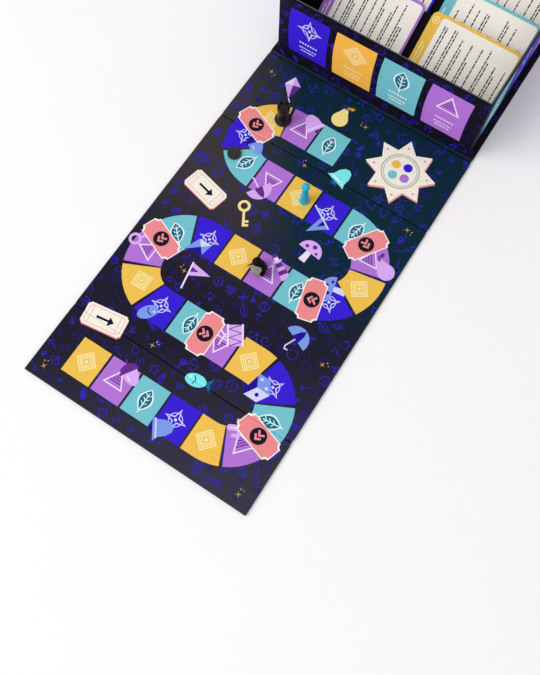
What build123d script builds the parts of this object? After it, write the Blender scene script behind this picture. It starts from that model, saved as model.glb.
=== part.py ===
from build123d import *
import math
import os

# A board game kept in its own case. One long cover of four stiff panels (base, front flap, lid and
# end flap) lies open, and its printed inside is the playing board. A card tray is glued to the base.
# +X runs along the case's width, +Y from the board to the back of the tray, +Z up. The origin is
# the middle of the base's underside.

# Cover panels
case_width = 270.0
front_flap_length = 96.0
lid_length = 269.0
end_flap_length = 81.0
core_thickness = 2.4
wrap_thickness = 0.3
print_thickness = 0.3
fold_clearance = 0.4
crease_depth = 0.9
closing_clearance = 1.0
front_clearance = 0.9

# Closing magnets, and the steel discs that they pull on
magnet_radius = 6.0
magnet_thickness = 1.6
magnet_clearance = 0.1
magnet_edge_distance = 16.0
magnet_spacing = 180.0

# Tray
tray_side_inset = 7.5
tray_board = 2.0
corner_tape_thickness = 0.2
corner_tape_leg = 18.0
rim_tape_thickness = 0.3

# Cards, in two columns and three rows, each row leaning on a sloping board
card_width = 109.5
card_length = 111.0
card_corner_radius = 7.0
card_thickness = 0.5
deck_thickness = 2.4
card_lean_degrees = 33.0
card_front_gap = 4.1
card_side_gap = 1.0
column_gap = 10.2
card_play = 0.3
row_pitch = 45.0
slope_length = 98.0

# Rook, on the front flap
rook_from_left = 63.4
rook_from_fold = 70.6
rook_base_radius = 9.7
rook_foot_height = 2.6
rook_step_radius = 7.8
rook_step_height = 2.2
rook_waist_radius = 5.0
rook_collar_radius = 7.3
rook_collar_height = 1.6
rook_crown_radius = 7.2
rook_crown_height = 8.0
rook_stem_height = 14.2
rook_cup_radius = 4.8
rook_cup_depth = 4.0
rook_notch_width = 2.6
rook_notch_depth = 3.6
rook_notch_count = 6
felt_thickness = 0.6
felt_radius = 8.8

# Pawn, on the lid
pawn_from_left = 138.0
pawn_from_fold = 41.9
pawn_base_radius = 5.7
pawn_foot_height = 1.3
pawn_neck_radius = 3.1
pawn_head_radius = 4.6
pawn_height = 35.0
pawn_waist_share = 0.52

# Penguin, on the lid, facing towards the front left
penguin_from_left = 141.9
penguin_from_fold = 138.6
penguin_turn_degrees = 52.0
penguin_height = 31.0
penguin_foot_radius = 7.4
penguin_belly_radius = 9.0
penguin_shoulder_radius = 4.8
penguin_head_radius = 5.0
penguin_head_reach = 2.0
penguin_beak_length = 7.2
penguin_beak_radius = 1.2
penguin_beak_drop_degrees = 12.0
penguin_flipper_length = 15.0
penguin_flipper_width = 6.4
penguin_flipper_thickness = 1.6
penguin_flipper_lean_degrees = 18.0
penguin_tail_length = 2.8
penguin_tail_radius = 2.2
penguin_tail_rise = 3.0
penguin_belly_share = 0.29
penguin_shoulder_share = 0.68
penguin_flipper_share = 0.42

# Puck, on the lid
puck_from_left = 41.2
puck_from_fold = 35.3
puck_radius = 7.7
puck_height = 3.2
puck_edge = 0.6
puck_dish_radius = 5.6
puck_dish_depth = 0.4

# One overrun serves every cut
overrun = 1.0

# Where the panels and their folds lie
panel_thickness = wrap_thickness + core_thickness + print_thickness
gutter = 2 * panel_thickness + fold_clearance
front_pitch = front_flap_length + gutter
lid_pitch = lid_length + gutter
base_depth = lid_pitch - gutter / 2
base_front_y = -base_depth / 2
front_axis_y = base_front_y - gutter / 2
lid_axis_y = front_axis_y - front_pitch
end_axis_y = lid_axis_y - lid_pitch
half_width = case_width / 2
left_edge_x = -half_width

# Where the tray lies. Its rim stops under the closed lid, its front and back inside the closed flaps
rim_z = front_pitch - panel_thickness - closing_clearance
tray_half_width = half_width - tray_side_inset
tray_front_y = front_axis_y + panel_thickness + front_clearance
tray_back_y = front_axis_y + lid_pitch - panel_thickness - closing_clearance
skin_thickness = corner_tape_thickness + wrap_thickness
wall_top_z = rim_z - rim_tape_thickness
wall_stack = skin_thickness + tray_board + print_thickness
inner_half_width = tray_half_width - wall_stack
inner_front_y = tray_front_y + wall_stack
inner_back_y = tray_back_y - wall_stack
floor_top_z = panel_thickness + tray_board
inner_floor_z = floor_top_z + print_thickness

# Where the cards lie. Their feet stand on the floor and each row leans back on its board
lean = math.radians(card_lean_degrees)
card_run = card_thickness / math.sin(lean)
deck_run = deck_thickness / math.sin(lean)
slope_run = tray_board / math.sin(lean)
card_foot_z = inner_floor_z + card_play
front_card_y = inner_front_y + card_front_gap
right_column_x = inner_half_width - card_side_gap - card_width / 2
left_column_x = right_column_x - card_width - column_gap

nodes = {}


def slab(low, high):
    """A box between its lowest and its highest corner."""
    size = [top - bottom for bottom, top in zip(low, high)]
    return Pos(*low) * Box(*size, align=(Align.MIN, Align.MIN, Align.MIN))


def across_width(low_y, high_y, low_z, high_z):
    """A slab as wide as the case."""
    return slab((-half_width, low_y, low_z), (half_width, high_y, high_z))


def ring(half_outer_x, outer_front_y, outer_back_y, thickness, low_z, high_z):
    """An upright rectangular sleeve with the given outer faces."""
    outer = slab((-half_outer_x, outer_front_y, low_z), (half_outer_x, outer_back_y, high_z))
    half_inner_x = half_outer_x - thickness
    hole_low = (-half_inner_x, outer_front_y + thickness, low_z - overrun)
    hole_high = (half_inner_x, outer_back_y - thickness, high_z + overrun)
    return outer - slab(hole_low, hole_high)


def solids_of(shape):
    """The separate solids of a shape, as one group."""
    return Compound(children=list(shape.solids()))


# Cover panels: a greyboard core between an outer wrap and the printed inside
def add_panel(name, low_y, high_y):
    core_low_z = wrap_thickness
    core_high_z = core_low_z + core_thickness
    nodes[name + "_wrap"] = across_width(low_y, high_y, 0, core_low_z)
    nodes[name + "_board"] = across_width(low_y, high_y, core_low_z, core_high_z)
    nodes[name + "_print"] = across_width(low_y, high_y, core_high_z, panel_thickness)


# Folds: cloth under the gap between two cores, and the print dipping into the gap above it
def add_fold(name, axis_y):
    low_y = axis_y - gutter / 2
    high_y = axis_y + gutter / 2
    nodes[name + "_cloth"] = across_width(low_y, high_y, 0, wrap_thickness)
    print_low_z = panel_thickness - print_thickness
    top_arc = ThreePointArc(
        (-half_width, low_y, panel_thickness),
        (-half_width, axis_y, panel_thickness - crease_depth),
        (-half_width, high_y, panel_thickness),
    )
    low_arc = ThreePointArc(
        (-half_width, high_y, print_low_z),
        (-half_width, axis_y, print_low_z - crease_depth),
        (-half_width, low_y, print_low_z),
    )
    back_edge = Line(top_arc @ 1, low_arc @ 0)
    front_edge = Line(low_arc @ 1, top_arc @ 0)
    section = make_face([top_arc, back_edge, low_arc, front_edge])
    nodes[name + "_crease"] = extrude(section, amount=case_width, dir=(1, 0, 0))


add_panel("base", base_front_y, base_front_y + base_depth)
add_panel("front_flap", lid_axis_y + gutter / 2, front_axis_y - gutter / 2)
add_panel("lid", end_axis_y + gutter / 2, lid_axis_y - gutter / 2)
end_flap_low_y = end_axis_y - gutter / 2 - end_flap_length
add_panel("end_flap", end_flap_low_y, end_axis_y - gutter / 2)
add_fold("front_fold", front_axis_y)
add_fold("lid_fold", lid_axis_y)
add_fold("end_fold", end_axis_y)

# Closing magnets: let into the end flap's core from above, near its free edge
magnet_y = end_flap_low_y + magnet_edge_distance
magnet_top_z = panel_thickness - print_thickness
magnet_low_z = magnet_top_z - magnet_thickness
magnet_places = [Pos(side * magnet_spacing / 2, magnet_y, magnet_low_z) for side in (-1, 1)]
upright = (Align.CENTER, Align.CENTER, Align.MIN)
pocket = Cylinder(magnet_radius + magnet_clearance, magnet_thickness + overrun, align=upright)
for place in magnet_places:
    nodes["end_flap_board"] -= place * pocket
magnet = Cylinder(magnet_radius, magnet_thickness, align=upright)
nodes["end_flap_magnets"] = Compound(children=[place * magnet for place in magnet_places])

# Tray: floor and four walls, taped at the corners, wrapped outside and lined inside
wall_out_x = tray_half_width - skin_thickness
wall_in_x = wall_out_x - tray_board
wall_front_y = tray_front_y + skin_thickness
wall_back_y = tray_back_y - skin_thickness
floor_front_y = wall_front_y + tray_board
floor_back_y = wall_back_y - tray_board
nodes["tray_floor"] = slab(
    (-wall_in_x, floor_front_y, panel_thickness), (wall_in_x, floor_back_y, floor_top_z)
)
nodes["tray_left_wall"] = slab(
    (-wall_out_x, wall_front_y, panel_thickness), (-wall_in_x, wall_back_y, wall_top_z)
)
nodes["tray_right_wall"] = slab(
    (wall_in_x, wall_front_y, panel_thickness), (wall_out_x, wall_back_y, wall_top_z)
)
nodes["tray_front_wall"] = slab(
    (-wall_in_x, wall_front_y, panel_thickness), (wall_in_x, floor_front_y, wall_top_z)
)
nodes["tray_back_wall"] = slab(
    (-wall_in_x, floor_back_y, panel_thickness), (wall_in_x, wall_back_y, wall_top_z)
)
nodes["tray_wrap"] = ring(
    tray_half_width, tray_front_y, tray_back_y, wrap_thickness, panel_thickness, wall_top_z
)
nodes["tray_lining"] = ring(
    wall_in_x, floor_front_y, floor_back_y, print_thickness, floor_top_z, wall_top_z
)
nodes["tray_rim_tape"] = ring(
    tray_half_width, tray_front_y, tray_back_y, wall_stack, wall_top_z, rim_z
)
nodes["tray_floor_lining"] = slab(
    (-inner_half_width, inner_front_y, floor_top_z), (inner_half_width, inner_back_y, inner_floor_z)
)
tape_sleeve = ring(
    wall_out_x + corner_tape_thickness,
    wall_front_y - corner_tape_thickness,
    wall_back_y + corner_tape_thickness,
    corner_tape_thickness,
    panel_thickness,
    wall_top_z,
)
tape_gap_half_x = wall_out_x - corner_tape_leg
tape_gap_front_y = wall_front_y + corner_tape_leg
tape_gap_back_y = wall_back_y - corner_tape_leg
front_to_back_gap = slab(
    (-tape_gap_half_x, tray_front_y, panel_thickness), (tape_gap_half_x, tray_back_y, rim_z)
)
side_to_side_gap = slab(
    (-tray_half_width, tape_gap_front_y, panel_thickness), (tray_half_width, tape_gap_back_y, rim_z)
)
nodes["tray_corner_tapes"] = solids_of(tape_sleeve - front_to_back_gap - side_to_side_gap)

# Steel discs in the tray's back wall, where the magnets come to lie when the case is closed
disc_z = front_pitch - (end_axis_y - magnet_y)
disc_places = [
    Pos(side * magnet_spacing / 2, wall_back_y, disc_z) * Rot(90, 0, 0) for side in (-1, 1)
]
disc_pocket = Cylinder(magnet_radius + magnet_clearance, 2 * magnet_thickness)
disc = Cylinder(magnet_radius, magnet_thickness, align=upright)
for place in disc_places:
    nodes["tray_back_wall"] -= place * disc_pocket
nodes["tray_steel_discs"] = Compound(children=[place * disc for place in disc_places])


# Cards and the sloping boards behind them
def leaning_sheet(outline, middle_x, foot_y, foot_z, run):
    """A flat outline leaning back on its foot, repeated for a run along the floor."""
    normal = (0, -math.sin(lean), math.cos(lean))
    plane = Plane(origin=(middle_x, foot_y, foot_z), x_dir=(1, 0, 0), z_dir=normal)
    return extrude(plane * outline, amount=run, dir=(0, 1, 0))


card_outline = Pos(0, card_length / 2) * RectangleRounded(card_width, card_length, card_corner_radius)
slope_outline = Pos(0, slope_length / 2) * Rectangle(2 * inner_half_width, slope_length)
rows = (("front", "purple", "yellow"), ("middle", "blue", "teal"), ("rear", "teal", "blue"))
for index, (row, left_colour, right_colour) in enumerate(rows):
    card_y = front_card_y + index * row_pitch
    deck_y = card_y + card_run + card_play
    slope_y = deck_y + deck_run + card_play
    columns = (("left_" + left_colour, left_column_x), ("right_" + right_colour, right_column_x))
    for deck, middle_x in columns:
        nodes[deck + "_front_card"] = leaning_sheet(card_outline, middle_x, card_y, card_foot_z, card_run)
        nodes[deck + "_deck"] = leaning_sheet(card_outline, middle_x, deck_y, card_foot_z, deck_run)
    nodes[row + "_card_slope"] = leaning_sheet(slope_outline, 0, slope_y, inner_floor_z, slope_run)


# Playing pieces: turned shapes are drawn as half an outline in the XZ plane
def turned(edges):
    """A closed half outline turned about the Z axis."""
    return revolve(make_face(edges), Axis.Z)


def at(radius, height):
    """A point of a half outline."""
    return (radius, 0, height)


def rook():
    step_z = rook_foot_height + rook_step_height
    stem_top_z = step_z + rook_stem_height
    collar_top_z = stem_top_z + rook_collar_height
    top_z = collar_top_z + rook_crown_height
    foot = Polyline(
        at(0, 0),
        at(rook_base_radius, 0),
        at(rook_base_radius, rook_foot_height),
        at(rook_step_radius, rook_foot_height),
        at(rook_step_radius, step_z),
    )
    waist_z = (step_z + stem_top_z) / 2
    stem = ThreePointArc(foot @ 1, at(rook_waist_radius, waist_z), at(rook_waist_radius, stem_top_z))
    crown = Polyline(
        stem @ 1,
        at(rook_collar_radius, stem_top_z),
        at(rook_collar_radius, collar_top_z),
        at(rook_crown_radius, collar_top_z),
        at(rook_crown_radius, top_z),
        at(0, top_z),
        at(0, 0),
    )
    body = turned([foot, stem, crown])
    body -= Pos(0, 0, top_z - rook_cup_depth) * Cylinder(
        rook_cup_radius, rook_cup_depth + overrun, align=upright
    )
    notch_length = rook_crown_radius + overrun
    notch = Pos(0, 0, top_z - rook_notch_depth) * Box(
        notch_length, rook_notch_width, rook_notch_depth + overrun,
        align=(Align.MIN, Align.CENTER, Align.MIN),
    )
    for index in range(rook_notch_count):
        body -= Rot(0, 0, 360 * index / rook_notch_count) * notch
    return body


def pawn():
    head_z = pawn_height - pawn_head_radius
    neck_z = head_z - math.sqrt(pawn_head_radius ** 2 - pawn_neck_radius ** 2)
    foot = Polyline(at(0, 0), at(pawn_base_radius, 0), at(pawn_base_radius, pawn_foot_height))
    waist_z = (pawn_foot_height + neck_z) / 2
    waist_radius = pawn_neck_radius + (pawn_base_radius - pawn_neck_radius) * (1 - pawn_waist_share)
    cone = ThreePointArc(foot @ 1, at(waist_radius, waist_z), at(pawn_neck_radius, neck_z))
    head = ThreePointArc(cone @ 1, at(pawn_head_radius, head_z), at(0, pawn_height))
    spine = Line(head @ 1, foot @ 0)
    return turned([foot, cone, head, spine])


def penguin():
    belly_z = penguin_height * penguin_belly_share
    shoulder_z = penguin_height * penguin_shoulder_share
    base = Line(at(0, 0), at(penguin_foot_radius, 0))
    side = ThreePointArc(
        base @ 1, at(penguin_belly_radius, belly_z), at(penguin_shoulder_radius, shoulder_z)
    )
    top = Polyline(side @ 1, at(0, shoulder_z), at(0, 0))
    head_z = penguin_height - penguin_head_radius
    head_place = Pos(-penguin_head_reach, 0, head_z)
    neck_length = math.hypot(penguin_head_reach, head_z - shoulder_z)
    neck_tilt = math.degrees(math.atan2(penguin_head_reach, head_z - shoulder_z))
    neck = Pos(0, 0, shoulder_z) * Rot(0, -neck_tilt, 0) * Cylinder(
        penguin_shoulder_radius, neck_length, align=upright
    )
    beak_length = penguin_head_radius + penguin_beak_length
    beak = head_place * Rot(0, -90 - penguin_beak_drop_degrees, 0) * Cone(
        penguin_beak_radius * beak_length / penguin_beak_length, 0, beak_length, align=upright
    )
    figure = turned([base, side, top]) + neck + head_place * Sphere(penguin_head_radius) + beak
    flipper_z = penguin_height * penguin_flipper_share
    for side_sign in (-1, 1):
        flipper = Ellipse(penguin_flipper_width / 2, penguin_flipper_length / 2)
        flipper_y = side_sign * (penguin_belly_radius - penguin_flipper_thickness / 2)
        flipper_turn = Rot(90 + side_sign * penguin_flipper_lean_degrees, 0, 0)
        figure += Pos(0, flipper_y, flipper_z) * flipper_turn * extrude(
            flipper, amount=penguin_flipper_thickness / 2, both=True
        )
    tail_root = penguin_foot_radius
    tail = Pos(0, 0, penguin_tail_rise) * Rot(0, 90, 0) * Cone(
        penguin_tail_radius, 0, tail_root + penguin_tail_length, align=upright
    )
    return Rot(0, 0, penguin_turn_degrees) * (figure + tail)


def puck():
    body = Cylinder(puck_radius, puck_height, align=upright)
    body = chamfer(body.edges().filter_by(GeomType.CIRCLE), puck_edge)
    dish_z = puck_height - puck_dish_depth
    return body - Pos(0, 0, dish_z) * Cylinder(puck_dish_radius, puck_dish_depth + overrun, align=upright)


def on_board(from_left, axis_y, from_fold, height=0):
    """A place on the printed side, measured from the left edge and from a fold."""
    return Pos(left_edge_x + from_left, axis_y - from_fold, panel_thickness + height)


nodes["rook_felt"] = on_board(rook_from_left, front_axis_y, rook_from_fold) * Cylinder(
    felt_radius, felt_thickness, align=upright
)
nodes["rook"] = on_board(rook_from_left, front_axis_y, rook_from_fold, felt_thickness) * rook()
nodes["pawn"] = on_board(pawn_from_left, lid_axis_y, pawn_from_fold) * pawn()
nodes["penguin"] = on_board(penguin_from_left, lid_axis_y, penguin_from_fold) * penguin()
nodes["puck"] = on_board(puck_from_left, lid_axis_y, puck_from_fold) * puck()

os.makedirs("parts", exist_ok=True)
for name, shape in nodes.items():
    export_step(shape, "parts/" + name + ".step")
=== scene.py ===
import bmesh
import bpy
import math
import random
from mathutils import Matrix, Vector
from mathutils.geometry import delaunay_2d_cdt

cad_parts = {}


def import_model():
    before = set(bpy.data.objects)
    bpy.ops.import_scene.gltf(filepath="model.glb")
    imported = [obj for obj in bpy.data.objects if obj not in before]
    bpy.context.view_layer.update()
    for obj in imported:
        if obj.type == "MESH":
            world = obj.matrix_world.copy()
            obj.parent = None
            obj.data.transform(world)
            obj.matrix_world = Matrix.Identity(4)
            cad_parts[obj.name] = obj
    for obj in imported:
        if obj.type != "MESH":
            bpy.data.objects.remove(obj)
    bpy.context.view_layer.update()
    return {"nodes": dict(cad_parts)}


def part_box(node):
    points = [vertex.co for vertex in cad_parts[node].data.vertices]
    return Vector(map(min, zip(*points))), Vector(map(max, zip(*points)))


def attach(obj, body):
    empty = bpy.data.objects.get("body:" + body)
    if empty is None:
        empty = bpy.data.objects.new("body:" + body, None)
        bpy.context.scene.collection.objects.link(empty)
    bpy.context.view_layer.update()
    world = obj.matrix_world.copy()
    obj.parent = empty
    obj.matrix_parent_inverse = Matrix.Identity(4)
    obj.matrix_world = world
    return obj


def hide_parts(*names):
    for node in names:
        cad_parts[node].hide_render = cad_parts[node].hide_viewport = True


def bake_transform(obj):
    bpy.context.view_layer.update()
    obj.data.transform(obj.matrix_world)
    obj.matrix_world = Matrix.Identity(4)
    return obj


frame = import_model()

# A board game in its own case, laid open. Lengths are in metres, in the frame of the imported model.
# Printed sheets start as flat drawings, which are cut into coloured triangles and bent to the sheet's shape.
# A name that ends in share or shares holds parts of a whole, and not metres.

# Camera, fitted to the corners of the board's panels
camera_yaw = math.radians(30.03)
camera_elevation = math.radians(72.49)
camera_roll = math.radians(2.94)
camera_target = Vector((0.0566, -0.4359, 0.0))
camera_distance = 0.780
camera_lens = 39.95

# Light and floor. A lamp has its place, size and power
world_strength = 0.58
lamps = {"key": (Vector((-2.0, -2.3, 3.0)), 3.0, 88.0), "front": (Vector((0.3, -3.0, 0.8)), 1.6, 11.0)}
lamp_aim = Vector((0.0, -0.25, 0.0))
floor_lifts = (0.04, 0.45)
floor_lift_distances = (1.0, 4.0)
floor_reach = 12.0
floor_drop = 0.0002

# Cover
edge_round = 0.0007
corner_round = 0.0012
print_inset = 0.0006
turn_in = 0.012
fold_steps = 16
dip_power = 4
# Width of the dark line of painted shade along each fold's valley
crease_shade_width = 0.0012

# Track on the board: a first run, then half turns, to the right where below zero, with the run after each
lane_start = Vector((-0.108, -0.561))
first_run = 0.168
turns_and_runs = ((0.0455, 0.120), (-0.0455, 0.120), (0.048, 0.120), (-0.0368, 0.068))
tile_half_width = 0.0205
tile_count = 31
tile_gap = 0.0026
tile_lead = 0.0035
tile_order = ("yellow", "purple", "teal", "blue")
emblem_size = 0.0115
picture_size = 0.0155
picture_offset = 0.0145
picture_shift = 0.0075

# Plaques, tickets, badge, sparkles, loose pictures and line figures
plaque_half_length = 0.0245
plaque_half_width = 0.0122
plaque_tiles = (6, 10, 14, 19, 22, 28)
ticket_half_length = 0.0235
ticket_half_width = 0.0125
ticket_places = ((-0.098, -0.5145, 8.0), (-0.096, -0.331, -14.0))
ticket_edge = Vector((0.0009, -0.0013))
badge_radius = 0.041
badge_place = (0.0735, -0.1935, 11.5)
badge_edge = Vector((0.0013, -0.0018))
sparkle_size = 0.0035
sparkle_turn = 23.0
sparkle_places = (
    (-0.118, -0.162), (0.116, -0.252), (0.040, -0.331), (0.118, -0.432), (-0.040, -0.510),
    (0.118, -0.588), (-0.120, -0.588), (-0.020, -0.246), (-0.060, -0.424), (0.012, -0.166),
)
loose_places = (
    (-0.086, -0.168, 15.0, "kite", "purple"), (0.022, -0.236, -20.0, "bell", "teal"),
    (-0.044, -0.333, 30.0, "key", "yellow"), (0.080, -0.424, -25.0, "umbrella", "blue"),
    (0.020, -0.516, 12.0, "fish", "teal"), (0.040, -0.332, -8.0, "mushroom", "purple"),
    (-0.018, -0.168, 0.0, "pear", "yellow"), (-0.046, -0.424, 10.0, "pennant", "purple"),
)
doodle_pitch = 0.0150
lining_doodle_pitch = 0.0210
doodle_size = 0.0066
doodle_line = 0.0011
doodle_stray_share = 0.3
doodle_fill_share = 0.16
doodle_size_shares = (0.75, 1.2)

# Tray
tray_corner = 0.0026
rim_round = 0.0009
rim_reach = 0.0016
# Width of the painted highlight on the rim's top, next to its inner rounding
rim_highlight_reach = 0.0008
tape_leg = 0.018
tape_thickness = 0.0002
field_half_width = 0.0246
field_height_shares = (0.185, 0.872)
front_field_pitch = 0.058
side_field_pitch = 0.061
field_bulge = 0.0022
side_fields = ("teal", "blue", "purple", "yellow")
field_emblem_size = 0.0142
field_emblem_share = 0.66
lozenge_count = 7
lozenge_pitch = 0.0034
lozenge_radius = 0.0016
lozenge_share = 0.31
bar_shares = (0.2, 0.13)
bar_half_lengths = (0.011, 0.009)

# Cards
header_width = 0.0125
border_width = 0.0026
panel_corner = 0.0042
text_pitch = 0.0030
group_pitch = 0.0062
group_lines = (1, 2, 2, 2, 3)
text_height = 0.0015
text_margin = 0.0068
text_end_shares = (0.9, 1.1, 1.6, 3.0, 4.4)
word_gap = 0.0008
word_lengths = (0.0016, 0.0062)
header_line_shares = (0.36, 0.64)
header_end_shares = (0.55, 0.8)
header_mark_share = 0.66
card_corner = 0.007
deck_sheets = 5
deck_jitter = 0.0007
deck_inset_shares = (0.6, 1.3)
sheet_gap_share = 0.06

# Rook, pawn and puck, in shares of the base's radius and of the height
rook_foot_shares = [
    (0, 0), (0.97, 0), (1, 0.015), (1, 0.075), (0.94, 0.09), (0.84, 0.095), (0.82, 0.11), (0.8, 0.155),
    (0.74, 0.165),
]
rook_waist_shares = [
    (0.52 + 0.22 * (1 - rise) ** 2.2 + 0.04 * rise ** 4, 0.18 + 0.48 * rise)
    for rise in (step / 9 for step in range(10))
]
rook_neck_shares = [(0.7, 0.665), (0.75, 0.69), (0.7, 0.718), (0.66, 0.73)]
rook_crown_share = 0.74
rook_hollow_share = 0.5
rook_crown_foot_share = 0.76
rook_tooth_foot_share = 0.874
rook_hollow_floor_share = 0.86
rook_teeth = 6
rook_tooth_arc_share = 0.59
rook_edge = 0.00028
pawn_foot_shares = [(0, 0), (0.95, 0), (1, 0.012), (1, 0.04), (0.96, 0.052)]
pawn_flank_foot_shares = (0.94, 0.056)
pawn_flank_power = 1.25
pawn_ball_share = 0.807
pawn_neck_share = 0.54
puck_side_shares = [(0, 0), (0.9, 0), (0.97, 0.05), (1, 0.16), (1, 0.84), (0.97, 0.95), (0.9, 1)]
puck_groove_shares = [(0.06, 1), (0, 0.9), (-0.08, 0.9), (-0.12, 1)]
puck_ring_shares = (0.74, 0.52, 0.3)

# Penguin, about its foot and facing along X: lumps with their place, half sizes, tilt and roll
penguin_lumps = (
    ((0.0004, 0.0, 0.0085), (0.0088, 0.0090, 0.0098), 0.0, 0.0),
    ((0.0006, 0.0, 0.0155), (0.0066, 0.0067, 0.0080), 0.0, 0.0),
    ((0.0010, 0.0, 0.0212), (0.0042, 0.0042, 0.0052), 0.0, 0.0),
    ((0.0024, 0.0, 0.0261), (0.0052, 0.0048, 0.0048), 0.0, 0.0),
    ((-0.0078, 0.0, 0.0030), (0.0024, 0.0022, 0.0016), 15.0, 0.0),
    ((-0.0008, -0.0079, 0.0128), (0.0033, 0.0011, 0.0074), -6.0, -18.0),
    ((-0.0008, 0.0079, 0.0128), (0.0033, 0.0011, 0.0074), -6.0, 18.0),
)
penguin_turn = math.radians(52.0)
penguin_tail_reach = 0.0102
penguin_head = Vector((0.0020, 0.0, 0.0260))
penguin_voxel = 0.0003
penguin_soften_rounds = 14
beak_drop = 12.0
beak_middle = 0.0074
beak_length = 0.0092
beak_radii = (0.0016, 0.0004)
beak_start = 0.0068
beak_fade = 0.0004
beak_foot = 0.0200
belly_axis = -0.0012
belly_angle = 76.0
belly_angle_sway = 9.0
belly_angle_fade = 5.0
belly_sway_foot = 0.0055
belly_sway_pitch = 0.0125
throat_top = 0.0222
throat_fade = 0.0016

# How finely round things are divided
round_steps = 6
lathe_steps = 72

# Signs of the four quarters, a line corner's reach in half widths, and the distance that makes points one
quarters = ((1, 1), (-1, 1), (-1, -1), (1, -1))
mitre_limit = 2.0
merge_distance = 1e-6

# Inks, as sRGB values. A family has its own ink, a light, a dark and a line tint
palette = {
    "ground": (23, 20, 33),
    "rim": (14, 13, 22),
    # Pale ink of a painted highlight along the rim's inner edge
    "rubbed": (94, 94, 102),
    # Dark ink of painted shade along the folds' valleys
    "score": (12, 12, 17),
    "doodle": (52, 37, 190),
    "faint_doodle": (36, 30, 118),
    "gold": (196, 158, 84),
    "pink": (240, 142, 146),
    "white": (250, 247, 244),
    "cream": (250, 243, 230),
    "disc": (24, 27, 40),
    "card": (252, 246, 237),
    "text": (58, 54, 58),
    "amber": (255, 190, 78),
    "black": (5, 5, 8),
    "belly": (154, 144, 138),
    "beak": (58, 44, 36),
}
families = {
    "blue": ((58, 33, 214), (126, 156, 236), (38, 18, 150), (214, 218, 252)),
    "yellow": ((243, 195, 84), (250, 226, 148), (212, 158, 48), (252, 236, 172)),
    "teal": ((118, 197, 209), (128, 236, 238), (20, 112, 140), (236, 251, 251)),
    "purple": ((181, 118, 216), (221, 174, 245), (104, 48, 144), (244, 226, 252)),
}
for family, tints in families.items():
    for ending, tint in zip(("", "_light", "_dark", "_line"), tints):
        palette[family + ending] = tint
ink_cover_shares = {"ground": 0.0, "doodle": 0.66, "faint_doodle": 0.6}

# Ground of the board: its first tone, and tones that it turns to along a direction, between two distances.
# The tones are painted sheen of light on the dark print: paler and browner at first, teal towards the tray,
# darker further on and paler again near the far end.
sheened_board_ground = (60, 55, 58)
painted_sheen_turns = (
    ((14, 42, 56), (0.866, 0.5, 0.0), -0.215, -0.145),
    ((32, 29, 44), (0.0, -1.0, 0.0), 0.32, 0.43),
    ((58, 56, 70), (0.5, -0.866, 0.0), 0.42, 0.57),
)

# Seeds of the random draws
seeds = {
    "board": 11, "tray": 23, "bars": 29, "lining": 37, "tray_floor": 41, "base": 53,
    "cards": 100, "decks": 200,
}


# Small helpers
def light(rgb, alpha=1.0):
    """An sRGB colour, from 0 to 255, as linear light."""
    shares = [value / 255 for value in rgb]
    return (*[s / 12.92 if s <= 0.04045 else ((s + 0.055) / 1.055) ** 2.4 for s in shares], alpha)


def spaced(low, high, steps):
    """Evenly spaced values, both ends included."""
    return [low + (high - low) * step / steps for step in range(steps + 1)]


def clamped(value):
    """A value held between zero and one."""
    return min(max(value, 0.0), 1.0)


def arm(angle, length=1.0):
    """The end of an arm from the origin, at an angle in radians."""
    return Vector((math.cos(angle), math.sin(angle))) * length


def rectangle(low, high):
    """The corners of a rectangle, counter-clockwise."""
    return ((low[0], low[1]), (high[0], low[1]), (high[0], high[1]), (low[0], high[1]))


# Materials
class Nodes:
    """The nodes that lead to the shader of a material or a world."""

    def __init__(self, owner, shader):
        owner.use_nodes = True
        self.owner = owner
        self.tree = owner.node_tree
        self.shader = self.tree.nodes[shader]

    def give(self, socket, value):
        """Links a socket to another, or sets its own value."""
        if isinstance(value, bpy.types.NodeSocket):
            self.tree.links.new(value, socket)
        else:
            socket.default_value = value

    def fill(self, node, **inputs):
        """Links or sets inputs of a node."""
        for name, value in inputs.items():
            self.give(node.inputs[name.replace("_", " ")], value)
        return node

    def set(self, **sockets):
        """Links or sets sockets of the shader."""
        self.fill(self.shader, **sockets)
        return self

    def add(self, kind, **inputs):
        """A node, with some of its inputs linked or set."""
        return self.fill(self.tree.nodes.new("ShaderNode" + kind), **inputs)

    def worked(self, kind, operation, *values):
        """The value of a Math or VectorMath node."""
        node = self.add(kind)
        node.operation = operation
        for socket, value in zip(node.inputs, values):
            self.give(socket, value)
        return node.outputs["Value"]

    def ranged(self, value, low, high, from_low=0.3, from_high=0.7):
        """A value carried over from one range to another."""
        limits = {"From_Min": from_low, "From_Max": from_high, "To_Min": low, "To_Max": high}
        return self.add("MapRange", Value=value, **limits).outputs["Result"]

    def seen_rays(self):
        """One for a ray from the camera or sent on by gloss or glass, and zero for every other ray."""
        rays = self.add("LightPath").outputs
        seen = rays["Is Camera Ray"]
        for name in ("Is Glossy Ray", "Is Transmission Ray"):
            seen = self.worked("Math", "MAXIMUM", seen, rays[name])
        return seen


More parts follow.
